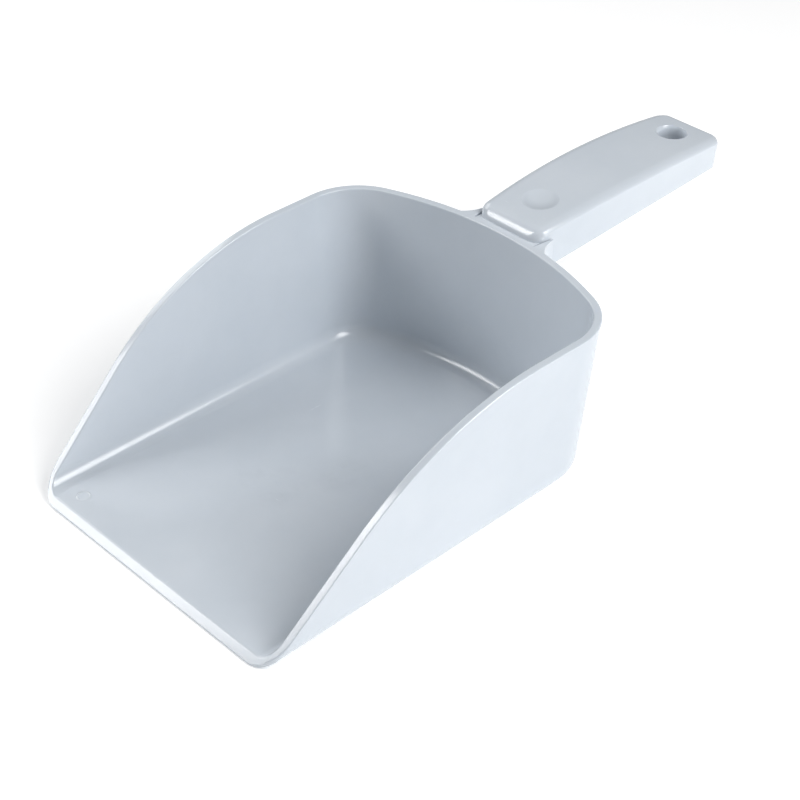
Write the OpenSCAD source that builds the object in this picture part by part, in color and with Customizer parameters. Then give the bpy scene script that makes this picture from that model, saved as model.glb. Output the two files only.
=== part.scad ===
// Ice scoop: a flat-bottomed moulded bowl with a hollow grip fixed to a tang on its back wall.
// Millimetres, +Z up. The mouth faces -Y and the grip runs out along +Y.
// The origin is the middle of the flat underside of the bowl.

/* [Bowl] */
// Width across the outside of the side walls, at the underside
mouth_width = 125; // [112:1:138]
// Front lip to the middle of the back wall, at the underside
bowl_length = 166; // [156:1:182]
// Radius of the bowed back wall, seen from above
back_radius = 130; // [115:1:150]
// Radius of the two upright back corners, at the underside
corner_radius = 20; // [15:1:25]
// Lean of every wall away from upright, in degrees
draft = 4.9; // [3:0.1:6]
// Thickness of the side and back walls
wall = 3; // [2.4:0.1:3.4]
// Thickness of the floor
floor_thickness = 3; // [2.4:0.1:3.6]
// Outside radius where the floor turns up into the walls
bottom_edge_radius = 9; // [7:0.5:11]

/* [Mouth] */
// Height of the level part of the rim
rim_height = 66.5; // [62:0.5:70]
// Radius of the curve that carries the rim down towards the lip
rim_curve_radius = 118; // [108:1:128]
// Slope of the straight run of the rim beside the lip, in degrees
mouth_angle = 42.4; // [40:0.2:46]
// Thickness left at the very front of the lip
lip_nose = 0.8; // [0.5:0.1:1.4]
// Radius of the two front corners of the lip, seen from above
lip_corner_radius = 10.5; // [8:0.5:12]

/* [Grip outside] */
// Front lip to the far end of the grip
overall_length = 281; // [274:0.5:290]
// Width of the grip at its widest
grip_width = 35; // [33:0.5:37]
// Radius of the bulge of the grip's sides, seen from above
grip_side_radius = 700; // [600:10:900]
// Height of the top of the grip above the level rim
crown_rise = 7.2; // [6.4:0.2:8]
// Radius of the arched top of the grip
crown_radius = 480; // [440:10:560]
// Height of the underside of the grip where it is highest
belly_height = 59.2; // [58.4:0.2:60]
// Radius of the arched underside of the grip
belly_radius = 745; // [700:5:800]
// Radius of the long top edges of the grip
grip_edge_radius = 2.4; // [2:0.2:3.2]
// Radius of the rounded front edge of the top of the grip
grip_nose_radius = 5.5; // [4:0.5:6]
// Radius of the corners of the grip, seen from above
grip_corner_radius = 6; // [5:0.5:7]
// Diameter of the shallow thumb dimple
dimple_diameter = 14; // [10:1:16]
// Depth of the thumb dimple
dimple_depth = 0.9; // [0.5:0.1:1.2]

/* [Hang hole] */
// Diameter of the hang hole
hang_hole_diameter = 11; // [9:0.5:12]
// Centre of the hang hole to the far end of the grip
hang_hole_inset = 13.1; // [12.8:0.1:15]
// Radius of the rolled edge round the top of the hang hole
hang_hole_lead = 2.4; // [1.6:0.2:2.6]

/* [Inside the grip] */
// Thickness of the grip's shell
shell = 2.6; // [2.2:0.1:2.8]
// Thickness of the plate that closes the underside
cover_thickness = 2.2; // [2:0.1:2.4]
// Gap round the closing plate and beside the webs of the bowl
clearance = 0.15; // [0.1:0.05:0.25]
// Length of the tang, measured out from the level rim
tang_length = 45; // [42:1:48]
// Width of the tang
tang_width = 20; // [16:1:21]
// Depth of the tang
tang_depth = 5; // [4:0.5:5.5]

/* [Hidden] */

$fn = 96;
long_arc = 720;
reach = 200;
lean = tan(draft);
rim_back = bowl_length + rim_height * lean;
base_middle = bowl_length / 2;
half_mouth = mouth_width / 2;

// back wall: the large arc and the two corner arcs that meet it
back_centre_y = bowl_length - back_radius;
corner_x = half_mouth - corner_radius;
centre_gap = back_radius - corner_radius;
corner_y = back_centre_y + sqrt(centre_gap * centre_gap - corner_x * corner_x);
back_half_angle = asin(corner_x / centre_gap);
edge_steps = 10;

// rim: a straight run up from the lip, then an arc that ends level
run_top_z = rim_height - rim_curve_radius * (1 - cos(mouth_angle));
run_top_y = (run_top_z - lip_nose) / tan(mouth_angle);
rim_centre_y = run_top_y + rim_curve_radius * sin(mouth_angle);
rim_centre_z = rim_height - rim_curve_radius;

// grip: lengthwise places of its highest, widest and most arched points
grip_gap = 0.4;
grip_front = rim_back + grip_gap;
grip_length = overall_length - grip_front;
crown_z = rim_height + crown_rise;
crown_y = grip_front + grip_length * 0.52;
side_y = grip_front + grip_length * 0.54;
belly_y = overall_length - 12;
grip_lean = tan(4);
nose_radius = 5;
foot_inset = 0.6;
foot_run = 6;
body_steps = 10;
end_steps = 5;
nose_steps = 7;
block_floor = belly_height - 14;

// hang hole, thumb dimple
hang_hole_radius = hang_hole_diameter / 2;
hole_y = overall_length - hang_hole_inset;
tube_radius = hang_hole_radius + 2.4;
dimple_y = grip_front + 16;
dimple_radius = (pow(dimple_diameter / 2, 2) + pow(dimple_depth, 2)) / (2 * dimple_depth);

// tang, and the ribs that hold it above and below
tang_top = rim_height - 1;
tang_bottom = tang_top - tang_depth;
tang_root = 8;
rib = 1.8;
cradle_places = [rim_back + 12, rim_back + 25];
stiffener_places = [rim_back + 53, rim_back + 68];
peg_y = rim_back + 36;
peg_radius = 2.6;
peg_top = tang_top + 3;
peg_gap = 0.2;
boss_wall = 1.8;
window_depth = grip_gap + shell + 2;

// wing: the web that runs from the back wall along each side of the grip
wing_end = rim_back + 7.8;
wing_curve = 13;
wing_tip = 1.1;
wing_depth = 13.5;
wing_inner = 12;
wing_root = 12;

function sagitta(radius, run) = radius - sqrt(radius * radius - run * run);
function top_z(y) = crown_z - sagitta(crown_radius, y - crown_y);
function half_width(y) = grip_width / 2 - sagitta(grip_side_radius, y - side_y);
function arc_point(x, y, radius, turn) = [x + radius * sin(turn), y - radius * cos(turn)];
function pull_in(radius, gap) = gap >= radius ? 0 : sagitta(radius, radius - gap);

// Section through a wall and the floor beside it, turned up on an arc. The sharp outer foot is at the origin.
module wall_section(inset, base, edge, run, top) {
    foot = -inset / cos(draft);
    seat = foot + base * lean - edge * (1 - sin(draft)) / cos(draft);
    polygon(concat(
        [[-run, base]],
        [for (k = [0:edge_steps]) arc_point(seat, base + edge, edge, (90 - draft) * k / edge_steps)],
        [[foot + top * lean, top], [-run, top]]
    ));
}

// The filled form of the bowl, drawn in by inset from the outside.
module tub(inset, base, edge, front, top) {
    for (side = [0, 1])
        mirror([side, 0, 0]) {
            translate([half_mouth, corner_y, 0])
                rotate([90, 0, 0])
                    linear_extrude(corner_y - front)
                        wall_section(inset, base, edge, half_mouth, top);
            translate([corner_x, corner_y, 0])
                rotate_extrude()
                    translate([corner_radius, 0])
                        wall_section(inset, base, edge, corner_radius, top);
        }
    translate([0, back_centre_y, 0])
        rotate([0, 0, 90 - back_half_angle])
            rotate_extrude(angle = 2 * back_half_angle)
                translate([back_radius, 0])
                    wall_section(inset, base, edge, back_radius, top);
}

// Everything below the rim line, seen from the side.
module below_rim() {
    translate([-reach, 0, 0])
        rotate([90, 0, 90])
            linear_extrude(2 * reach)
                union() {
                    polygon([
                        [0, -1],
                        [0, lip_nose],
                        [run_top_y, run_top_z],
                        [rim_centre_y, rim_centre_z],
                        [rim_centre_y, -1]
                    ]);
                    intersection() {
                        translate([rim_centre_y, rim_centre_z]) circle(rim_curve_radius);
                        polygon([
                            [rim_centre_y, rim_centre_z],
                            [run_top_y, run_top_z],
                            [run_top_y, rim_height + 1],
                            [rim_centre_y, rim_height + 1]
                        ]);
                    }
                    translate([rim_centre_y, -1]) square([reach, rim_height + 1]);
                }
}

// Rounds one front corner of the lip, following the lean of the wall.
module lip_corner_cut() {
    depth = 2 * lip_corner_radius;
    middle = half_mouth - lip_corner_radius;
    difference() {
        translate([middle, -5, -1]) cube([depth, lip_corner_radius + 5, depth + 1]);
        translate([middle, lip_corner_radius, -1])
            cylinder(h = depth + 2, r1 = lip_corner_radius - lean, r2 = lip_corner_radius + (depth + 1) * lean);
    }
}

// One web beside the grip. It curves out of the back wall and ends in a thin tip.
module wing() {
    outer = half_width(wing_end) + clearance + wing_tip + wing_curve;
    translate([0, 0, rim_height - wing_depth])
        linear_extrude(wing_depth)
            difference() {
                translate([wing_inner, rim_back - wing_root]) square([outer - wing_inner, wing_end - rim_back + wing_root]);
                translate([outer, wing_end]) circle(wing_curve);
                translate([grip_width / 2 + clearance - grip_side_radius, side_y]) circle(grip_side_radius, $fn = long_arc);
            }
}

// The tang that the grip slides over, with the hole for the cover's locking peg.
module tang() {
    difference() {
        translate([-tang_width / 2, rim_back - tang_root, tang_bottom])
            cube([tang_width, tang_length + tang_root, tang_depth]);
        translate([0, peg_y, tang_bottom - 1]) cylinder(h = tang_depth + 2, r = peg_radius + peg_gap);
    }
}

module bowl() {
    color([0.74, 0.78, 0.83])
        to_base()
            difference() {
                union() {
                    intersection() {
                        tub(0, 0, bottom_edge_radius, 0, rim_height + 4);
                        below_rim();
                    }
                    tang();
                    for (side = [0, 1])
                        mirror([side, 0, 0]) wing();
                }
                tub(wall, floor_thickness, bottom_edge_radius - wall, -5, rim_height + 5);
                for (side = [0, 1])
                    mirror([side, 0, 0]) lip_corner_cut();
            }
}

// One thin cross-section of the grip, its two top corners rounded by edge.
module grip_slice(y, half, top, bottom, edge) {
    foot = half - (top - edge - bottom) * grip_lean;
    translate([0, y, 0])
        rotate([90, 0, 0])
            linear_extrude(0.02, center = true) {
                for (side = [-1, 1])
                    translate([side * (half - edge), top - edge]) circle(edge, $fn = 24);
                polygon([
                    [edge - half, top],
                    [half - edge, top],
                    [half, top - edge],
                    [foot, bottom],
                    [-foot, bottom],
                    [-half, top - edge]
                ]);
            }
}

// The grip as one rounded block, drawn in by inset, before its underside is arched.
module grip_block(inset) {
    edge = max(grip_edge_radius - inset, 0.8);
    near = grip_front + inset;
    far = overall_length - inset;
    near_round = max(nose_radius - inset, 1);
    near_drop = max(grip_nose_radius - inset, 1);
    far_round = max(grip_corner_radius - inset, 2);
    near_ys = [for (k = [0:nose_steps]) near + near_drop * (1 - cos(90 * k / nose_steps))];
    far_ys = [for (k = [0:end_steps]) far - far_round * (1 - cos(90 * k / end_steps))];
    span = far - far_round - near - near_drop;
    body_ys = [for (k = [1:body_steps - 1]) near + near_drop + span * k / body_steps];
    hull()
        for (y = concat(near_ys, body_ys, far_ys)) {
            gap = min(y - near, far - y);
            corner = y - near < far - y ? near_round : far_round;
            drop = y - near < far - y ? near_drop : edge;
            grip_slice(
                y,
                half_width(y) - inset - pull_in(corner, gap),
                top_z(y) - inset - pull_in(drop, gap),
                block_floor,
                edge
            );
        }
}

// The cylinder whose top is the arched underside of the grip, raised by lift.
module belly(lift) {
    translate([-reach / 2, belly_y, belly_height - belly_radius])
        rotate([0, 90, 0])
            cylinder(h = reach, r = belly_radius + lift, $fn = long_arc);
}

// The foot of the grip that fills in against the leaning, bowed back wall.
module grip_foot() {
    half = half_width(grip_front) - foot_inset;
    difference() {
        translate([-half, rim_back - foot_run, block_floor])
            cube([2 * half, 2 * foot_run, rim_height - grip_gap - block_floor]);
        tub(0, 0, bottom_edge_radius, 100, rim_height + 4);
    }
}

// A full-width wall across the grip, later trimmed to the space inside the shell.
module cross_wall(y, bottom, top) {
    translate([-grip_width / 2, y - rib / 2, bottom]) cube([grip_width, rib, top - bottom]);
}

module hang_hole() {
    lead_z = top_z(hole_y - hang_hole_radius - hang_hole_lead);
    translate([0, hole_y, block_floor - 1]) cylinder(h = lead_z - block_floor + 2, r = hang_hole_radius);
    translate([0, hole_y, lead_z - hang_hole_lead])
        rotate_extrude()
            difference() {
                square([hang_hole_radius + hang_hole_lead, hang_hole_lead + 1]);
                translate([hang_hole_radius + hang_hole_lead, 0]) circle(hang_hole_lead);
            }
}

// Ribs, the peg socket and the tube round the hang hole, all inside the shell.
module grip_inside() {
    difference() {
        union() {
            for (y = cradle_places) cross_wall(y, tang_top, crown_z);
            for (y = stiffener_places) cross_wall(y, block_floor, crown_z);
            translate([0, peg_y, tang_top]) cylinder(h = crown_z - tang_top, r = peg_radius + peg_gap + boss_wall);
        }
        belly(cover_thickness);
        translate([0, peg_y, tang_top - 1]) cylinder(h = peg_top - tang_top + 1.4, r = peg_radius + peg_gap);
    }
    translate([0, hole_y, block_floor]) cylinder(h = crown_z - block_floor, r = tube_radius);
}

module grip_shell() {
    color([0.77, 0.81, 0.86])
        to_base()
            difference() {
                union() {
                    difference() {
                        union() {
                            grip_block(0);
                            grip_foot();
                        }
                        grip_block(shell);
                    }
                    intersection() {
                        grip_block(shell - 0.2);
                        grip_inside();
                    }
                }
                belly(0);
                translate([-tang_width / 2 - clearance, rim_back - tang_root, tang_bottom - clearance])
                    cube([tang_width + 2 * clearance, tang_root + window_depth, tang_depth + clearance]);
                hang_hole();
                translate([0, dimple_y, top_z(dimple_y) - dimple_depth + dimple_radius]) sphere(dimple_radius);
            }
}

module grip_cover() {
    color([0.72, 0.76, 0.81])
        to_base()
            difference() {
                union() {
                    intersection() {
                        grip_block(shell + clearance);
                        union() {
                            belly(cover_thickness);
                            for (y = cradle_places) cross_wall(y, block_floor, tang_bottom);
                        }
                    }
                    translate([0, peg_y, block_floor]) cylinder(h = peg_top - block_floor, r = peg_radius);
                }
                belly(0);
                translate([0, hole_y, block_floor - 1])
                    cylinder(h = crown_z - block_floor, r = tube_radius + clearance);
            }
}

// Moves a piece drawn from the front lip so that the middle of the underside is the origin.
module to_base() {
    translate([0, -base_middle, 0]) children();
}

bowl();
grip_shell();
grip_cover();
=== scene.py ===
import bpy
from math import asin, cos, pi, radians, sin, sqrt, tan
from mathutils import Matrix, Vector


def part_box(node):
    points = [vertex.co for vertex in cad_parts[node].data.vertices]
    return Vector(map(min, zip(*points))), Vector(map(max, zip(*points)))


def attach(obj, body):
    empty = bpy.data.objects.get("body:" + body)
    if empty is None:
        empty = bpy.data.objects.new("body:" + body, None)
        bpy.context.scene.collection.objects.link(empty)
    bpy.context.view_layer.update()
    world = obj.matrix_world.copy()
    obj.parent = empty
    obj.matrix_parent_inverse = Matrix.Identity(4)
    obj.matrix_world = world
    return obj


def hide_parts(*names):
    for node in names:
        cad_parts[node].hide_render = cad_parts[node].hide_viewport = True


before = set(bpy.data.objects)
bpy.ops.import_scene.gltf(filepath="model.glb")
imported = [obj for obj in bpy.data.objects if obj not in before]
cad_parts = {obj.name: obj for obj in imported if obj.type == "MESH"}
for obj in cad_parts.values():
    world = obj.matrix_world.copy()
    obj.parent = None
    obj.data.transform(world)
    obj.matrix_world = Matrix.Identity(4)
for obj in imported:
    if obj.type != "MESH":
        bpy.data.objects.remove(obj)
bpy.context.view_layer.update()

mm = 0.001
tiny = 0.002 * mm                     # points nearer than this are one point
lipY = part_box("bowl")[0].y            # front edge of the lip
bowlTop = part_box("bowl")[1].z         # level part of the rim
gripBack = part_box("grip_shell")[1].y
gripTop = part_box("grip_shell")[1].z


def clearSelection():
    if bpy.context.object and bpy.context.object.mode != 'OBJECT':
        bpy.ops.object.mode_set(mode='OBJECT')
    bpy.ops.object.select_all(action='DESELECT')


def makeActive(obj):
    clearSelection()
    obj.select_set(True)
    bpy.context.view_layer.objects.active = obj


def editMode(kind='VERT'):
    bpy.ops.object.mode_set(mode='EDIT')
    bpy.ops.mesh.select_mode(type=kind)
    bpy.ops.mesh.select_all(action='DESELECT')


def objectMode():
    bpy.ops.object.mode_set(mode='OBJECT')


def pickVerts(obj, test):
    bpy.ops.object.mode_set(mode='OBJECT')
    for v in obj.data.vertices:
        v.select = bool(test(v.co))
    for e in obj.data.edges:
        e.select = obj.data.vertices[e.vertices[0]].select and obj.data.vertices[e.vertices[1]].select
    for f in obj.data.polygons:
        f.select = all(obj.data.vertices[i].select for i in f.vertices)
    bpy.ops.object.mode_set(mode='EDIT')


def pickEdges(obj, test):
    bpy.ops.object.mode_set(mode='EDIT')
    bpy.ops.mesh.select_mode(type='EDGE')
    bpy.ops.mesh.select_all(action='DESELECT')
    bpy.ops.object.mode_set(mode='OBJECT')
    verts = obj.data.vertices
    for e in obj.data.edges:
        e.select = bool(test(verts[e.vertices[0]].co, verts[e.vertices[1]].co))
    bpy.ops.object.mode_set(mode='EDIT')


def pickFaces(obj, test):
    bpy.ops.object.mode_set(mode='EDIT')
    bpy.ops.mesh.select_mode(type='FACE')
    bpy.ops.mesh.select_all(action='DESELECT')
    bpy.ops.object.mode_set(mode='OBJECT')
    for f in obj.data.polygons:
        f.select = bool(test(f.center, f.normal))
    bpy.ops.object.mode_set(mode='EDIT')


def useModifier(obj, kind, **settings):
    makeActive(obj)
    m = obj.modifiers.new(kind.title(), kind)
    for k, v in settings.items():
        setattr(m, k, v)
    bpy.ops.object.modifier_apply(modifier=m.name)


def cutWith(obj, tool, how='DIFFERENCE', keep=False):
    useModifier(obj, 'BOOLEAN', operation=how, object=tool, solver='EXACT')
    if not keep:
        bpy.data.objects.remove(tool)


def copyOf(obj, name):
    new = obj.copy()
    new.data = obj.data.copy()
    new.name = name
    bpy.context.scene.collection.objects.link(new)
    return new


def mergeUp(obj, gap=0.01 * mm):
    makeActive(obj)
    editMode()
    bpy.ops.mesh.select_all(action='SELECT')
    bpy.ops.mesh.remove_doubles(threshold=gap)
    bpy.ops.mesh.normals_make_consistent(inside=False)
    objectMode()


def dropLoose(obj):
    makeActive(obj)
    editMode()
    bpy.ops.mesh.select_all(action='SELECT')
    bpy.ops.mesh.delete_loose()
    objectMode()


def boxPiece(name, lo, hi):
    clearSelection()
    lo, hi = Vector(lo), Vector(hi)
    bpy.ops.mesh.primitive_cube_add(size=1, location=(lo + hi) / 2, scale=hi - lo)
    obj = bpy.context.object
    obj.name = name
    bpy.ops.object.transform_apply(location=True, rotation=True, scale=True)
    return obj


def startPoint(name, place):
    # one vertex to draw from: a plane with all but one corner taken away
    clearSelection()
    bpy.ops.mesh.primitive_plane_add(size=0.001, location=place)
    obj = bpy.context.object
    obj.name = name
    bpy.ops.object.transform_apply(location=True, rotation=True, scale=True)
    editMode()
    bpy.ops.mesh.select_all(action='SELECT')
    bpy.ops.mesh.merge(type='CENTER')
    return obj


def drawTo(step):
    bpy.ops.mesh.extrude_region_move(TRANSFORM_OT_translate={"value": step})


def spinRound(centre, axis, angle, steps):
    bpy.ops.mesh.spin(steps=steps, angle=-angle, center=centre, axis=axis)    # the operator turns clockwise


bowl = {
    "width": 125 * mm,
    "length": 166 * mm,
    "backRadius": 130 * mm,
    "cornerRadius": 20 * mm,
    "lean": radians(4.9),
    "wall": 3 * mm,
    "floor": 3 * mm,
    "footRadius": 9 * mm,
    "rimCurve": 118 * mm,
    "mouthSlope": radians(42.4),
    "nose": 0.8 * mm,
    "lipCorner": 10.5 * mm,
    "lipCornerHeight": 12 * mm,
    "edgeSoftness": 0.5 * mm,
    "noseSoftness": 0.3 * mm,
    "spare": 5 * mm,              # how far the inside form stands out past the rim and the lip
    "rimSteps": 18,
    "footSteps": 9,
    "cornerSteps": 14,
    "backSteps": 30,
}
rimBack = lipY + bowl["length"] + bowlTop * tan(bowl["lean"])
cornerX = bowl["width"] / 2 - bowl["cornerRadius"]
backCentre = Vector((0, lipY + bowl["length"] - bowl["backRadius"], 0))
cornerGap = bowl["backRadius"] - bowl["cornerRadius"]
cornerCentre = Vector((cornerX, backCentre.y + sqrt(cornerGap ** 2 - cornerX ** 2), 0))
backHalf = asin(cornerX / cornerGap)


def tubForm(name, inset, base, foot, front, top):
    # solid block of the bowl's shape: one wall section, swept straight down both sides
    # and spun round the corners and the back
    slope = tan(bowl["lean"])
    edgeX = bowl["width"] / 2 - inset / cos(bowl["lean"])
    seatX = edgeX + base * slope - foot * (1 - sin(bowl["lean"])) / cos(bowl["lean"])
    y = cornerCentre.y
    obj = startPoint(name, (cornerX, y, base))
    drawTo((seatX - cornerX, 0, 0))
    spinRound((seatX, y, base + foot), (0, -1, 0), pi / 2 - bowl["lean"], bowl["footSteps"])
    last = edgeX + top * slope
    bendTop = Vector((seatX + foot * cos(bowl["lean"]), y, base + foot * (1 - sin(bowl["lean"]))))
    drawTo((last - bendTop.x, 0, top - bendTop.z))
    bpy.ops.mesh.select_all(action='SELECT')
    spinRound(cornerCentre, (0, 0, 1), pi / 2 - backHalf, bowl["cornerSteps"])
    spinRound(backCentre, (0, 0, 1), 2 * backHalf, bowl["backSteps"])
    spinRound((-cornerX, cornerCentre.y, 0), (0, 0, 1), pi / 2 - backHalf, bowl["cornerSteps"])
    drawTo((0, front - y, 0))
    pickVerts(obj, lambda p: p.x > 0 and abs(p.y - y) < 1e-6)
    drawTo((0, front - y, 0))
    mergeUp(obj, tiny)
    # close the floor, the top and the front
    makeActive(obj)
    editMode('EDGE')
    pickEdges(obj, lambda a, b: abs(a.z - base) < 1e-6 and abs(b.z - base) < 1e-6 and onCore(a) and onCore(b))
    bpy.ops.mesh.edge_face_add()
    pickEdges(obj, lambda a, b: abs(a.z - top) < 1e-6 and abs(b.z - top) < 1e-6)
    bpy.ops.mesh.edge_face_add()
    pickEdges(obj, lambda a, b: abs(a.y - front) < 1e-6 and abs(b.y - front) < 1e-6)
    bpy.ops.mesh.edge_face_add()
    objectMode()
    mergeUp(obj, tiny)
    return obj


def onCore(p):
    # on the edge of the plain middle of the floor
    near = 0.01 * mm
    flat = Vector((p.x, p.y, 0))
    if p.y > cornerCentre.y - near:
        return (flat - backCentre).length < cornerGap + near
    return abs(p.x) < cornerX + near


def trimMouth(obj):
    # planes laid along the rim, from the straight run beside the lip up to the level part
    rimCurve = bowl["rimCurve"]
    slope = bowl["mouthSlope"]
    runTopZ = bowlTop - rimCurve * (1 - cos(slope))
    runTopY = lipY + (runTopZ - bowl["nose"]) / tan(slope)
    centre = Vector((0, runTopY + rimCurve * sin(slope), bowlTop - rimCurve))
    makeActive(obj)
    for k in range(bowl["rimSteps"] + 1):
        angle = slope * (1 - k / bowl["rimSteps"])
        out = Vector((0, -sin(angle), cos(angle)))
        editMode('VERT')
        bpy.ops.mesh.select_all(action='SELECT')
        bpy.ops.mesh.bisect(plane_co=centre + out * rimCurve, plane_no=out,
                            use_fill=True, clear_outer=True, threshold=0.000001)
        objectMode()


def roundLipCorners(obj):
    # a leaning cone at each front corner, and what lies outside it is taken off
    r = bowl["lipCorner"]
    high = bowl["lipCornerHeight"]
    low = -1 * mm
    # the cone stands out past the block at both ends
    foot, head = low - 1 * mm, high + 1 * mm
    slope = tan(bowl["lean"])
    for side in (-1, 1):
        x = side * (bowl["width"] / 2 - r)
        away = x + side * 2 * r
        block = boxPiece("lipBlock", (min(x, away), lipY - 3 * mm, low), (max(x, away), lipY + r, high))
        clearSelection()
        bpy.ops.mesh.primitive_cone_add(vertices=96, radius1=r + foot * slope, radius2=r + head * slope,
                                        depth=head - foot, location=(x, lipY + r, (head + foot) / 2))
        cone = bpy.context.object
        bpy.ops.object.transform_apply(location=True, rotation=True, scale=True)
        cutWith(block, cone)
        cutWith(obj, block)


# the tang that the grip slides over, and the webs beside the grip
joinery = {
    "tangWidth": 20 * mm,
    "tangLength": 45 * mm,
    "tangDepth": 5 * mm,
    "tangDrop": 1 * mm,
    "pegPlace": 36 * mm,
    "pegHole": 2.8 * mm,
    "webReach": 7.8 * mm,
    "webCurve": 13 * mm,
    "webTip": 1.1 * mm,
    "webDepth": 13.5 * mm,
    "webDrop": 0.05 * mm,
    "webSoftness": 0.2 * mm,
    "webRoot": 7 * mm,
    "tangRoot": 8 * mm,
    "tangSoftness": 0.3 * mm,
    "gap": 0.15 * mm,
}

grip = {
    "front": 0.4 * mm,
    "width": 35 * mm,
    "sideRadius": 700 * mm,
    "widestPlace": 0.54,          # shares of the grip's length
    "crownPlace": 0.52,
    "crownRadius": 480 * mm,
    "bellyHeight": 59.2 * mm,
    "bellyRadius": 745 * mm,
    "bellyPeak": 12 * mm,         # from the far end to where the underside is highest
    "sideLean": radians(4),
    "edgeRadius": 2.4 * mm,
    "noseRadius": 5.5 * mm,
    "nearCorner": 5 * mm,
    "farCorner": 6 * mm,
    "shell": 2.6 * mm,
    "footInset": 0.6 * mm,
    "footRun": 6 * mm,
    "holeRadius": 5.5 * mm,
    "holeInset": 13.1 * mm,
    "holeLead": 2.4 * mm,
    "tubeRadius": 7.9 * mm,
    "rib": 1.8 * mm,
    "cradlePlaces": (12 * mm, 25 * mm),
    "stiffenerPlaces": (53 * mm, 68 * mm),
    "bossRadius": 4.6 * mm,
    "socketDepth": 3.4 * mm,
    "dimplePlace": 16 * mm,
    "dimpleRadius": 7 * mm,
    "dimpleSlip": 2.4 * mm,       # how far back the arched top carries its middle
    "dimpleDepth": 0.9 * mm,
    "bodySteps": 26,
    "endSteps": 8,
}
gripFront = rimBack + grip["front"]
gripLength = gripBack - gripFront
crownY = gripFront + gripLength * grip["crownPlace"]
sideY = gripFront + gripLength * grip["widestPlace"]
bellyY = gripBack - grip["bellyPeak"]
holeY = gripBack - grip["holeInset"]


def sag(radius, run):
    return radius - sqrt(radius ** 2 - run ** 2)


def topAt(y):
    return gripTop - sag(grip["crownRadius"], y - crownY)


def halfAt(y):
    return grip["width"] / 2 - sag(grip["sideRadius"], y - sideY)


def bellyAt(y):
    return grip["bellyHeight"] - sag(grip["bellyRadius"], y - bellyY)


def makeWeb(side):
    # a flat outline with one hollow side, drawn up into a web
    end = rimBack + joinery["webReach"]
    root = rimBack - joinery["webRoot"]
    inner = halfAt(end) + joinery["gap"]
    rootInner = halfAt(root) + joinery["gap"]
    tip = inner + joinery["webTip"]
    outer = tip + joinery["webCurve"]
    low = bowlTop - joinery["webDepth"]
    obj = startPoint("web", (side * tip, end, low))
    spinRound((side * outer, end, low), (0, 0, side), pi / 2, 16)
    drawTo((0, root - end + joinery["webCurve"], 0))
    drawTo((side * (rootInner - outer), 0, 0))
    drawTo((side * (inner - rootInner), end - root, 0))
    bpy.ops.mesh.select_all(action='SELECT')
    bpy.ops.mesh.edge_face_add()
    drawTo((0, 0, joinery["webDepth"] - joinery["webDrop"]))
    objectMode()
    mergeUp(obj, tiny)
    return obj


def makeBowl():
    obj = tubForm("bowlBody", 0, 0, bowl["footRadius"], lipY, bowlTop + 4 * mm)
    trimMouth(obj)
    roundLipCorners(obj)
    outside = copyOf(obj, "bowlOutside")
    wall, foot, spare = bowl["wall"], bowl["footRadius"], bowl["spare"]
    cutWith(obj, tubForm("bowlInside", wall, bowl["floor"], foot - wall, lipY - spare, bowlTop + spare))
    mergeUp(obj, 0.02 * mm)
    softenEdges(obj, bowl["edgeSoftness"], lambda a, b: min(a.z, b.z) > 0.95 * bowl["floor"])
    straight = bowl["width"] / 2 - bowl["lipCorner"] + 1 * mm
    nearNose = 0.1 * mm
    softenEdges(obj, bowl["noseSoftness"], lambda a, b: abs(a.z - bowl["nose"]) < nearNose
                and abs(b.z - bowl["nose"]) < nearNose and max(abs(a.x), abs(b.x)) < straight)
    # webs and tang are rooted in the middle of the wall
    middle = tubForm("bowlMiddle", wall / 2, wall / 2, foot - wall / 2, lipY, bowlTop + spare)
    for side in (-1, 1):
        web = makeWeb(side)
        softenEdges(web, joinery["webSoftness"], lambda a, b: True)
        cutWith(web, middle, keep=True)
        cutWith(obj, web, 'UNION')
    tangTop = bowlTop - joinery["tangDrop"]
    half = joinery["tangWidth"] / 2
    tang = boxPiece("tang", (-half, rimBack - joinery["tangRoot"], tangTop - joinery["tangDepth"]),
                    (half, rimBack + joinery["tangLength"], tangTop))
    clearSelection()
    bpy.ops.mesh.primitive_cylinder_add(vertices=48, radius=joinery["pegHole"], depth=20 * mm,
                                        location=(0, rimBack + joinery["pegPlace"], tangTop))
    pegHole = bpy.context.object
    bpy.ops.object.transform_apply(location=True, rotation=True, scale=True)
    cutWith(tang, pegHole)
    softenEdges(tang, joinery["tangSoftness"], lambda a, b: True, 2)
    cutWith(tang, middle)
    cutWith(obj, tang, 'UNION')
    mergeUp(obj)
    dropLoose(obj)
    return obj, outside


def softenEdges(obj, width, test, steps=3):
    # small rounding along the sharp edges that pass the test
    makeActive(obj)
    editMode('EDGE')
    bpy.ops.mesh.edges_select_sharp(sharpness=radians(28))
    objectMode()
    verts = obj.data.vertices
    for e in obj.data.edges:
        if e.select and not test(verts[e.vertices[0]].co, verts[e.vertices[1]].co):
            e.select = False
    bpy.ops.object.mode_set(mode='EDIT')
    bpy.ops.mesh.bevel(offset=width, segments=steps, profile=0.5, affect='EDGES',
                       clamp_overlap=False, loop_slide=True)
    objectMode()


def finishShade(obj, angle=32):
    makeActive(obj)
    bpy.ops.object.shade_smooth_by_angle(angle=radians(angle))
    useModifier(obj, 'WEIGHTED_NORMAL', mode='FACE_AREA', weight=50, keep_sharp=True)


def pullIn(radius, gap):
    return 0 if gap >= radius else sag(radius, radius - gap)


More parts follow.
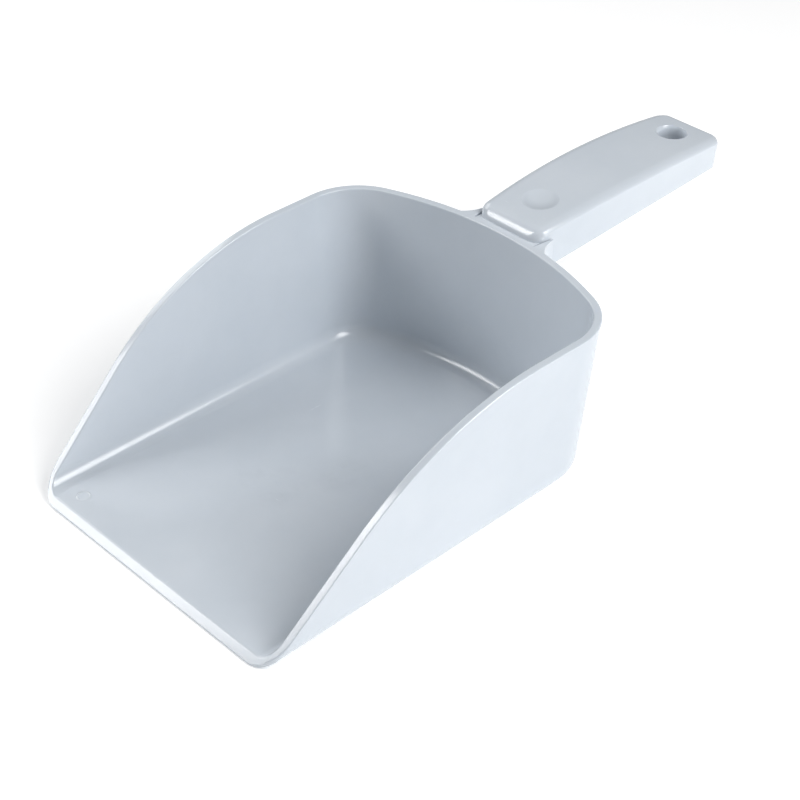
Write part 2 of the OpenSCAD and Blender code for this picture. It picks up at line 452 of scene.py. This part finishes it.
def gripForm(name, inset, bottomAt, near, far):
    # one rounded section drawn along the grip
    # each ring is sized to the arched top, the bulged sides and the rounded ends
    lean = tan(grip["sideLean"])
    edge = max(grip["edgeRadius"] - inset, 0.8 * mm)
    nose = max(grip["noseRadius"] - inset, 1 * mm)
    nearCorner = max(grip["nearCorner"] - inset, 1 * mm)
    farCorner = max(grip["farCorner"] - inset, 2 * mm)

    def ringAt(y):
        isNear = y - near < far - y
        gap = min(y - near, far - y)
        half = halfAt(y) - inset - pullIn(nearCorner if isNear else farCorner, gap)
        top = topAt(y) - inset - pullIn(nose if isNear else edge, gap)
        bottom = bottomAt(y)
        return half, top, bottom, half - (top - edge - bottom) * lean

    turns = [pi / 2 * k / grip["endSteps"] for k in range(grip["endSteps"] + 1)]
    places = [near + nose * (1 - cos(t)) for t in turns]
    ends = [far - farCorner * (1 - cos(t)) for t in reversed(turns)]
    run = (ends[0] - places[-1]) / grip["bodySteps"]
    places += [places[-1] + run * k for k in range(1, grip["bodySteps"])] + ends

    half, top, bottom, foot = ringAt(near)
    obj = startPoint(name, (foot, near, bottom))
    drawTo((half - foot, 0, top - edge - bottom))
    spinRound((half - edge, near, top - edge), (0, -1, 0), pi / 2, 7)
    drawTo((-2 * (half - edge), 0, 0))
    spinRound((edge - half, near, top - edge), (0, -1, 0), pi / 2, 7)
    drawTo((half - foot, 0, bottom - top + edge))
    bpy.ops.mesh.select_all(action='SELECT')
    bpy.ops.mesh.edge_face_add()
    for before, y in zip(places, places[1:]):
        newHalf, newTop, newBottom, newFoot = ringAt(y)
        drawTo((0, y - before, newTop - top))
        wider = newHalf / half
        bpy.ops.transform.resize(value=(wider, 1, 1), center_override=(0, y, newTop))
        # then the two lower corners
        low = bottom + newTop - top
        pickVerts(obj, lambda p: abs(p.y - y) < 1e-6 and abs(p.z - low) < 1e-5)
        bpy.ops.transform.resize(value=(newFoot / (foot * wider), 1, 1), center_override=(0, y, low))
        bpy.ops.transform.translate(value=(0, 0, newBottom - low))
        pickVerts(obj, lambda p: abs(p.y - y) < 1e-6)
        half, top, bottom, foot = newHalf, newTop, newBottom, newFoot
    objectMode()
    mergeUp(obj, tiny)
    return obj


def tubeTool(name, radius, low, high, y=holeY, sides=64):
    clearSelection()
    bpy.ops.mesh.primitive_cylinder_add(vertices=sides, radius=radius, depth=high - low,
                                        location=(0, y, (low + high) / 2))
    obj = bpy.context.object
    obj.name = name
    bpy.ops.object.transform_apply(location=True, rotation=True, scale=True)
    return obj


def hangHoleTool():
    # a plain bore that flares out at the top, so that it leaves a rolled edge
    lead = grip["holeLead"]
    r = grip["holeRadius"]
    mouth = topAt(holeY - r - lead)
    obj = tubeTool("hangHole", r, 40 * mm, mouth - lead)
    pickFaces(obj, lambda c, n: n.z > 0.9)
    steps = 8
    place = 0
    size = r
    for k in range(1, steps + 1):
        turn = pi / 2 * k / steps
        rise = lead * sin(turn) - place
        wide = r + lead * (1 - cos(turn))
        drawTo((0, 0, rise))
        bpy.ops.transform.resize(value=(wide / size, wide / size, 1))
        place, size = lead * sin(turn), wide
    drawTo((0, 0, 3 * mm))
    objectMode()
    return obj


def dimpleTool():
    # a large ball that only dips into the top of the grip
    deep, wide = grip["dimpleDepth"], grip["dimpleRadius"]
    ball = (wide ** 2 + deep ** 2) / (2 * deep)
    y = gripFront + grip["dimplePlace"]
    clearSelection()
    bpy.ops.mesh.primitive_uv_sphere_add(segments=72, ring_count=120, radius=ball,
                                         location=(0, y, topAt(y) - deep + ball))
    obj = bpy.context.object
    obj.name = "dimple"
    bpy.ops.object.transform_apply(location=True, rotation=True, scale=True)
    return obj


cover = {
    "thickness": 2.2 * mm,
    "rib": 1.8 * mm,
    "peg": 2.6 * mm,
    "pegRise": 3 * mm,
    "nearCorner": 1.4 * mm,
    "ribInset": 1.2 * mm,
}
ribGap = 0.02 * mm                    # ribs stop this short of what they carry


def addRibs(obj):
    # ribs above the tang and across the hollow, and the socket of the locking peg
    tangTop = bowlTop - joinery["tangDrop"]
    cradles = [rimBack + run for run in grip["cradlePlaces"]]
    stiffeners = [rimBack + run for run in grip["stiffenerPlaces"]]
    ribs = [(y, tangTop) for y in cradles] + [(y, bellyAt(y) + cover["thickness"]) for y in stiffeners]
    root = grip["shell"] / 2
    half = grip["rib"] / 2
    for y, low in ribs:
        wide = halfAt(y) - root
        rib = boxPiece("rib", (-wide, y - half, low + ribGap), (wide, y + half, topAt(y) - root))
        cutWith(obj, rib, 'UNION')
    pegY = rimBack + joinery["pegPlace"]
    boss = tubeTool("boss", grip["bossRadius"], tangTop + ribGap, topAt(pegY) - root, pegY, 40)
    cutWith(obj, boss, 'UNION')
    socketTop = tangTop + grip["socketDepth"]
    cutWith(obj, tubeTool("socket", joinery["pegHole"], tangTop - 1 * mm, socketTop, pegY, 40))


def makeGripShell():
    obj = gripForm("gripShell", 0, bellyAt, gripFront, gripBack)
    half = halfAt(gripFront) - grip["footInset"]
    run = grip["footRun"]
    foot = boxPiece("gripFoot", (-half, rimBack - run, bellyAt(gripFront) + 0.3 * mm),
                    (half, rimBack + run, bowlTop - grip["front"]))
    cutWith(obj, foot, 'UNION')
    cutWith(obj, bowlOutside, keep=True)
    inset = grip["shell"]
    cavity = gripForm("gripCavity", inset, lambda y: bellyAt(y) - 3 * mm, gripFront + inset, gripBack - inset)
    cutWith(obj, cavity)
    addRibs(obj)
    cutWith(obj, tubeTool("holeTube", grip["tubeRadius"], bellyAt(holeY), topAt(holeY) - 1 * mm), 'UNION')
    cutWith(obj, hangHoleTool())
    cutWith(obj, dimpleTool())
    gap = joinery["gap"]
    halfTang = joinery["tangWidth"] / 2 + gap
    tangTop = bowlTop - joinery["tangDrop"]
    tangLow = tangTop - joinery["tangDepth"] - gap
    depth = grip["front"] + grip["shell"] + 2 * mm
    window = boxPiece("tangWindow", (-halfTang, rimBack - joinery["tangRoot"], tangLow),
                      (halfTang, rimBack + depth, tangTop))
    cutWith(obj, window)
    mergeUp(obj)
    dropLoose(obj)
    return obj


def makeGripCover():
    thick = cover["thickness"]
    inset = grip["shell"] + joinery["gap"]
    near, far = gripFront + inset, gripBack - inset
    obj = boxPiece("gripCover", (-0.5 * grip["width"], near, -1 * mm), (0.5 * grip["width"], far, 1 * mm))
    steps = grip["bodySteps"]
    first, last = near + 2 * mm, far - 4 * mm
    rings = [near] + [first + (last - first) * k / steps for k in range(steps + 1)] + [far]
    for y in rings[1:-1]:
        makeActive(obj)
        editMode()
        bpy.ops.mesh.select_all(action='SELECT')
        bpy.ops.mesh.bisect(plane_co=(0, y, 0), plane_no=(0, 1, 0))
    lean = tan(grip["sideLean"])
    for y in rings:
        for isTop in (True, False):
            z = bellyAt(y) + (thick if isTop else 0)
            wide = halfAt(y) - inset - (topAt(y) - grip["edgeRadius"] - z) * lean
            pickVerts(obj, lambda p: abs(p.y - y) < 1e-5 and abs(p.z) < 2 * mm and (p.z > 0) == isTop)
            bpy.ops.transform.resize(value=(wide / (grip["width"] / 2), 1, 1))
            bpy.ops.transform.translate(value=(0, 0, z - (1 * mm if isTop else -1 * mm)))
        objectMode()
    for place, size in ((near, cover["nearCorner"]), (far, grip["farCorner"] - inset)):
        pickEdges(obj, lambda a, b: abs(a.y - place) < 1e-5 and abs(b.y - place) < 1e-5 and a.x * b.x > 0)
        bpy.ops.mesh.bevel(offset=size, segments=6, profile=0.5, affect='EDGES', clamp_overlap=False)
        objectMode()
    # ribs that carry the tang, and the peg that locks it
    tangTop = bowlTop - joinery["tangDrop"]
    tangLow = tangTop - joinery["tangDepth"]
    half = cover["rib"] / 2
    for y in (rimBack + run for run in grip["cradlePlaces"]):
        wide = halfAt(y) - inset - cover["ribInset"]
        rib = boxPiece("rib", (-wide, y - half, bellyAt(y) + 1 * mm), (wide, y + half, tangLow - ribGap))
        cutWith(obj, rib, 'UNION')
    pegY = rimBack + joinery["pegPlace"]
    peg = tubeTool("peg", cover["peg"], bellyAt(pegY) + 1 * mm, tangTop + cover["pegRise"], pegY, 40)
    cutWith(obj, peg, 'UNION')
    cutWith(obj, tubeTool("coverHole", grip["tubeRadius"] + joinery["gap"], 40 * mm, 70 * mm))
    mergeUp(obj)
    dropLoose(obj)
    return obj


bowlBody, bowlOutside = makeBowl()
print("bowl made")
gripShell = makeGripShell()
bpy.data.objects.remove(bowlOutside)
print("grip made")
gripCover = makeGripCover()
print("grip cover made")


def node(tree, kind, place=(0, 0), **settings):
    made = tree.nodes.new(kind)
    made.location = place
    for k, v in settings.items():
        setattr(made, k, v)
    return made


def noise(tree, coords, scale, detail=3, roughness=0.5, stretch=None, turn=0):
    made = node(tree, "ShaderNodeTexNoise")
    made.inputs["Scale"].default_value = scale
    made.inputs["Detail"].default_value = detail
    made.inputs["Roughness"].default_value = roughness
    if stretch:
        mapping = node(tree, "ShaderNodeMapping")
        mapping.inputs["Scale"].default_value = stretch
        mapping.inputs["Rotation"].default_value = (0, 0, turn)
        tree.links.new(coords, mapping.inputs["Vector"])
        coords = mapping.outputs["Vector"]
    tree.links.new(coords, made.inputs["Vector"])
    return made.outputs["Fac"]


def span(tree, value, fromLow, fromHigh, toLow, toHigh):
    made = node(tree, "ShaderNodeMapRange")
    made.inputs["From Min"].default_value = fromLow
    made.inputs["From Max"].default_value = fromHigh
    made.inputs["To Min"].default_value = toLow
    made.inputs["To Max"].default_value = toHigh
    tree.links.new(value, made.inputs["Value"])
    return made.outputs["Result"]


def sums(tree, how, a, b):
    made = node(tree, "ShaderNodeMath", operation=how)
    for socket, value in zip(made.inputs, (a, b)):
        if isinstance(value, (int, float)):
            socket.default_value = value
        else:
            tree.links.new(value, socket)
    return made.outputs["Value"]


def mixColour(tree, amount, a, b):
    made = node(tree, "ShaderNodeMix", data_type='RGBA')
    tree.links.new(amount, made.inputs["Factor"])
    ends = [s for s in made.inputs if s.type == 'RGBA']
    for socket, value in zip(ends, (a, b)):
        if isinstance(value, tuple):
            socket.default_value = (*value, 1)
        else:
            tree.links.new(value, socket)
    return [s for s in made.outputs if s.type == 'RGBA'][0]


plastic = {
    "tone": (0.585, 0.635, 0.69),
    "paleTone": (0.615, 0.662, 0.715),
    "scuffTone": (0.66, 0.70, 0.745),
    "scuffAmount": 0.1,
    "gloss": 0.18,
    "glossSpread": 0.03,
    "scuffGloss": 0.12,
    "grain": 0.003 * mm,
    "ripple": 0.025 * mm,
    "scuffDepth": 0.004 * mm,
    "ior": 1.52,
    "shine": 0.65,
    "glow": 0.12,                 # how much light passes under the skin, and how far
    "glowDepth": 1.5 * mm,
}


def mouldedPlastic(name, marks=None, turn=0.4):
    # satin moulded plastic: clouded colour, fine grain, slow ripple and faint rubbed lines
    material = bpy.data.materials.new(name)
    material.use_nodes = True
    tree = material.node_tree
    shader = tree.nodes["Principled BSDF"]
    coords = node(tree, "ShaderNodeTexCoord").outputs["Object"]
    cloud = noise(tree, coords, 26, 5, 0.6)
    colour = mixColour(tree, span(tree, cloud, 0.35, 0.65, 0, 1), plastic["tone"], plastic["paleTone"])
    lines = noise(tree, coords, 60, 6, 0.65, (1, 16, 3), turn)
    crossLines = noise(tree, coords, 55, 6, 0.65, (13, 1, 3), -turn)
    lines = span(tree, lines, 0.6, 0.72, 0, 1)
    crossLines = span(tree, crossLines, 0.62, 0.74, 0, 1)
    patch = span(tree, noise(tree, coords, 24, 3), 0.46, 0.66, 0, 1)
    scuff = sums(tree, 'MULTIPLY', sums(tree, 'MAXIMUM', lines, crossLines), patch)
    rubbed = sums(tree, 'MULTIPLY', scuff, plastic["scuffAmount"])
    colour = mixColour(tree, rubbed, colour, plastic["scuffTone"])
    gloss, spread = plastic["gloss"], plastic["glossSpread"]
    rough = span(tree, noise(tree, coords, 130, 5, 0.6), 0.3, 0.7, gloss - spread, gloss + spread)
    rough = sums(tree, 'ADD', rough, sums(tree, 'MULTIPLY', scuff, plastic["scuffGloss"]))
    grain = sums(tree, 'MULTIPLY', noise(tree, coords, 1500, 2), plastic["grain"])
    ripple = sums(tree, 'MULTIPLY', noise(tree, coords, 45, 2), plastic["ripple"])
    height = sums(tree, 'ADD', grain, ripple)
    height = sums(tree, 'SUBTRACT', height, sums(tree, 'MULTIPLY', scuff, plastic["scuffDepth"]))
    if marks:
        colour, rough, height = marks(tree, coords, colour, rough, height)
    bump = node(tree, "ShaderNodeBump")
    bump.inputs["Strength"].default_value = 1
    bump.inputs["Distance"].default_value = 1
    tree.links.new(height, bump.inputs["Height"])
    tree.links.new(bump.outputs["Normal"], shader.inputs["Normal"])
    tree.links.new(colour, shader.inputs["Base Color"])
    tree.links.new(rough, shader.inputs["Roughness"])
    shader.inputs["IOR"].default_value = plastic["ior"]
    shader.inputs["Specular IOR Level"].default_value = plastic["shine"]
    shader.inputs["Subsurface Weight"].default_value = plastic["glow"]
    shader.inputs["Subsurface Radius"].default_value = (1, 1.05, 1.2)
    shader.inputs["Subsurface Scale"].default_value = plastic["glowDepth"]
    return material


floorMarks = {
    "ringPlace": (-48 * mm, lipY + 9.9 * mm),
    "ringRadius": 2.3 * mm,
    "ringWidth": 0.45 * mm,
    "ringHeight": 0.25 * mm,
    "ringTone": (0.80, 0.84, 0.88),
    "ringAmount": 0.85,
    "smudgePlaces": ((-8 * mm, lipY + 62 * mm, 16 * mm), (6 * mm, lipY + 84 * mm, 12 * mm)),
    "smudgeTone": (0.545, 0.592, 0.645),
    "smudgeGloss": 0.1,
}


def flatPlace(tree, coords):
    parts = node(tree, "ShaderNodeSeparateXYZ")
    tree.links.new(coords, parts.inputs[0])
    flat = node(tree, "ShaderNodeCombineXYZ")
    tree.links.new(parts.outputs["X"], flat.inputs["X"])
    tree.links.new(parts.outputs["Y"], flat.inputs["Y"])
    return flat.outputs["Vector"], parts.outputs["Z"]


def farFrom(tree, flat, place):
    gap = node(tree, "ShaderNodeVectorMath", operation='DISTANCE')
    gap.inputs[1].default_value = (place[0], place[1], 0)
    tree.links.new(flat, gap.inputs[0])
    return gap.outputs["Value"]


def bowlMarks(tree, coords, colour, rough, height):
    # the witness ring of an ejector near the lip, and faint smudges, all on the top of the floor
    flat, z = flatPlace(tree, coords)
    top = bowl["floor"]
    above = span(tree, z, top - 1 * mm, top - 0.4 * mm, 0, 1)
    below = span(tree, z, top + 0.6 * mm, top + 1.4 * mm, 1, 0)
    onFloor = sums(tree, 'MULTIPLY', above, below)
    off = sums(tree, 'SUBTRACT', farFrom(tree, flat, floorMarks["ringPlace"]), floorMarks["ringRadius"])
    ring = span(tree, sums(tree, 'ABSOLUTE', off, 0), 0, floorMarks["ringWidth"], 1, 0)
    broken = span(tree, noise(tree, coords, 160, 2), 0.42, 0.56, 0.15, 1)
    ring = sums(tree, 'MULTIPLY', sums(tree, 'MULTIPLY', ring, broken), onFloor)
    shown = sums(tree, 'MULTIPLY', ring, floorMarks["ringAmount"])
    colour = mixColour(tree, shown, colour, floorMarks["ringTone"])
    height = sums(tree, 'ADD', height, sums(tree, 'MULTIPLY', ring, floorMarks["ringHeight"]))
    blotch = span(tree, noise(tree, coords, 75, 5, 0.65), 0.45, 0.65, 0, 1)
    for x, y, size in floorMarks["smudgePlaces"]:
        near = span(tree, farFrom(tree, flat, (x, y)), 0, size, 1, 0)
        smudge = sums(tree, 'MULTIPLY', sums(tree, 'MULTIPLY', near, blotch), onFloor)
        colour = mixColour(tree, smudge, colour, floorMarks["smudgeTone"])
        rough = sums(tree, 'ADD', rough, sums(tree, 'MULTIPLY', smudge, floorMarks["smudgeGloss"]))
    return colour, rough, height


# painted shade on the grip: a darker crescent in the thumb dimple and a darker bore in the hang hole
paintedGripShade = {
    "dimpleShadeTone": (0.50, 0.545, 0.60),
    "dimpleShadeAmount": 0.7,
    "dimpleShadeShift": 2.2 * mm,
    "boreShadeTone": (0.33, 0.36, 0.40),
    "boreShadeAmount": 0.75,
    "boreShadeLip": 2 * mm,
}


def gripPaintedShade(tree, coords, colour, rough, height):
    # painted shade: a darker crescent on one side of the thumb dimple, and darkening down the bore of the
    # hang hole
    flat, z = flatPlace(tree, coords)
    middle = gripFront + grip["dimplePlace"] + grip["dimpleSlip"]
    wide = grip["dimpleRadius"]
    shift = paintedGripShade["dimpleShadeShift"]
    # painted shade: a darker crescent inside the dimple, on its front right side
    inside = span(tree, farFrom(tree, flat, (0, middle)), 0.82 * wide, 1.02 * wide, 1, 0)
    shadedSide = span(tree, farFrom(tree, flat, (-shift, middle + shift)), 0.55 * wide, 1.25 * wide, 0, 1)
    shown = sums(tree, 'MULTIPLY', sums(tree, 'MULTIPLY', inside, shadedSide), paintedGripShade["dimpleShadeAmount"])
    colour = mixColour(tree, shown, colour, paintedGripShade["dimpleShadeTone"])
    # painted shade: the bore of the hang hole is darker the deeper it goes below the top
    bore, top, lip = grip["holeRadius"], topAt(holeY), paintedGripShade["boreShadeLip"]
    inBore = span(tree, farFrom(tree, flat, (0, holeY)), bore + 0.1 * mm, bore + 0.9 * mm, 1, 0)
    deep = span(tree, z, top - 2.2 * lip, top - 0.6 * lip, 1, 0)
    shown = sums(tree, 'MULTIPLY', sums(tree, 'MULTIPLY', inBore, deep), paintedGripShade["boreShadeAmount"])
    colour = mixColour(tree, shown, colour, paintedGripShade["boreShadeTone"])
    return colour, rough, height


def useFinish(obj, material):
    obj.data.materials.clear()
    obj.data.materials.append(material)
    for f in obj.data.polygons:
        f.material_index = 0


for obj, material, slotName, cadNode in (
        (bowlBody, mouldedPlastic("bowlPlastic", bowlMarks), "bowl_plastic", "bowl"),
        (gripShell, mouldedPlastic("gripPlastic", gripPaintedShade, 0.1), "grip_plastic", "grip_shell"),
        (gripCover, mouldedPlastic("coverPlastic", turn=0.7), "cover_plastic", "grip_cover")):
    finishShade(obj)
    useFinish(obj, material)
    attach(obj, "root")
    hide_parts(cadNode)
print("finishes made")

studio = {
    "floorSize": 2.6,
    "floorTone": (0.955, 0.955, 0.955),
    "floorGlow": 0.2,
    "worldTone": (0.95, 0.97, 1.0),
    "worldLight": 0.09,
    "backdrop": 1.0,
    "lightDistance": 1.2,
    # direction round the object and height above it, in degrees, then width, height and power
    "lights": {
        "keyLight": (110, 47, 0.7, 0.7, 9.3),
        "lowKeyLight": (107, 23, 0.7, 0.7, 3.9),
        "frontFill": (315, 36, 0.36, 0.72, 5.6),
        "sideFill": (270, 35, 0.8, 0.8, 4.7),
    },
}


def softLight(name, azimuth, elevation, wide, high, power):
    lamp = bpy.data.lights.new(name, 'AREA')
    lamp.shape = 'ELLIPSE'
    lamp.size = wide
    lamp.size_y = high
    lamp.energy = power
    obj = bpy.data.objects.new(name, lamp)
    bpy.context.scene.collection.objects.link(obj)
    a, e = radians(azimuth), radians(elevation)
    toLight = Vector((sin(a) * cos(e), -cos(a) * cos(e), sin(e)))
    obj.location = toLight * studio["lightDistance"]
    obj.rotation_euler = (-toLight).to_track_quat('-Z', 'Y').to_euler()


def makeStudio():
    clearSelection()
    bpy.ops.mesh.primitive_plane_add(size=studio["floorSize"], location=(0, 0, -0.2 * mm))
    floor = bpy.context.object
    floor.name = "studioFloor"
    paper = bpy.data.materials.new("paleFloor")
    paper.use_nodes = True
    shader = paper.node_tree.nodes["Principled BSDF"]
    shader.inputs["Base Color"].default_value = (*studio["floorTone"], 1)
    shader.inputs["Roughness"].default_value = 0.9
    shader.inputs["Specular IOR Level"].default_value = 0.1
    shader.inputs["Emission Color"].default_value = (1, 1, 1, 1)
    shader.inputs["Emission Strength"].default_value = studio["floorGlow"]
    floor.data.materials.append(paper)
    # the backdrop is seen as white and lights the object only faintly
    world = bpy.data.worlds.new("studioWorld")
    bpy.context.scene.world = world
    world.use_nodes = True
    tree = world.node_tree
    back = tree.nodes["Background"]
    back.inputs["Color"].default_value = (*studio["worldTone"], 1)
    seen = node(tree, "ShaderNodeLightPath").outputs["Is Camera Ray"]
    strength = span(tree, seen, 0, 1, studio["worldLight"], studio["backdrop"])
    tree.links.new(strength, back.inputs["Strength"])
    for name, settings in studio["lights"].items():
        softLight(name, *settings)


makeStudio()

eye = {
    "target": (2.89 * mm, lipY + 115.7 * mm, 18.77 * mm),
    "azimuth": 0.7938,
    "elevation": 0.636,
    "roll": 0.0125,
    "distance": 649 * mm,
    "lens": 80.13,
}


def makeCamera():
    lens = bpy.data.cameras.new("productCamera")
    lens.lens = eye["lens"]
    lens.sensor_width = 36
    lens.clip_start = 0.05
    lens.clip_end = 20
    camera = bpy.data.objects.new("productCamera", lens)
    bpy.context.scene.collection.objects.link(camera)
    a, e, r = eye["azimuth"], eye["elevation"], eye["roll"]
    back = Vector((sin(a) * cos(e), -cos(a) * cos(e), sin(e)))
    right = Vector((cos(a), sin(a), 0))
    up = back.cross(right)
    turned = Matrix((right * cos(r) + up * sin(r), up * cos(r) - right * sin(r), back)).transposed()
    place = Vector(eye["target"]) + back * eye["distance"]
    camera.matrix_world = Matrix.Translation(place) @ turned.to_4x4()
    bpy.context.scene.camera = camera


makeCamera()
bpy.context.scene.view_settings.view_transform = 'Standard'
print("studio made")
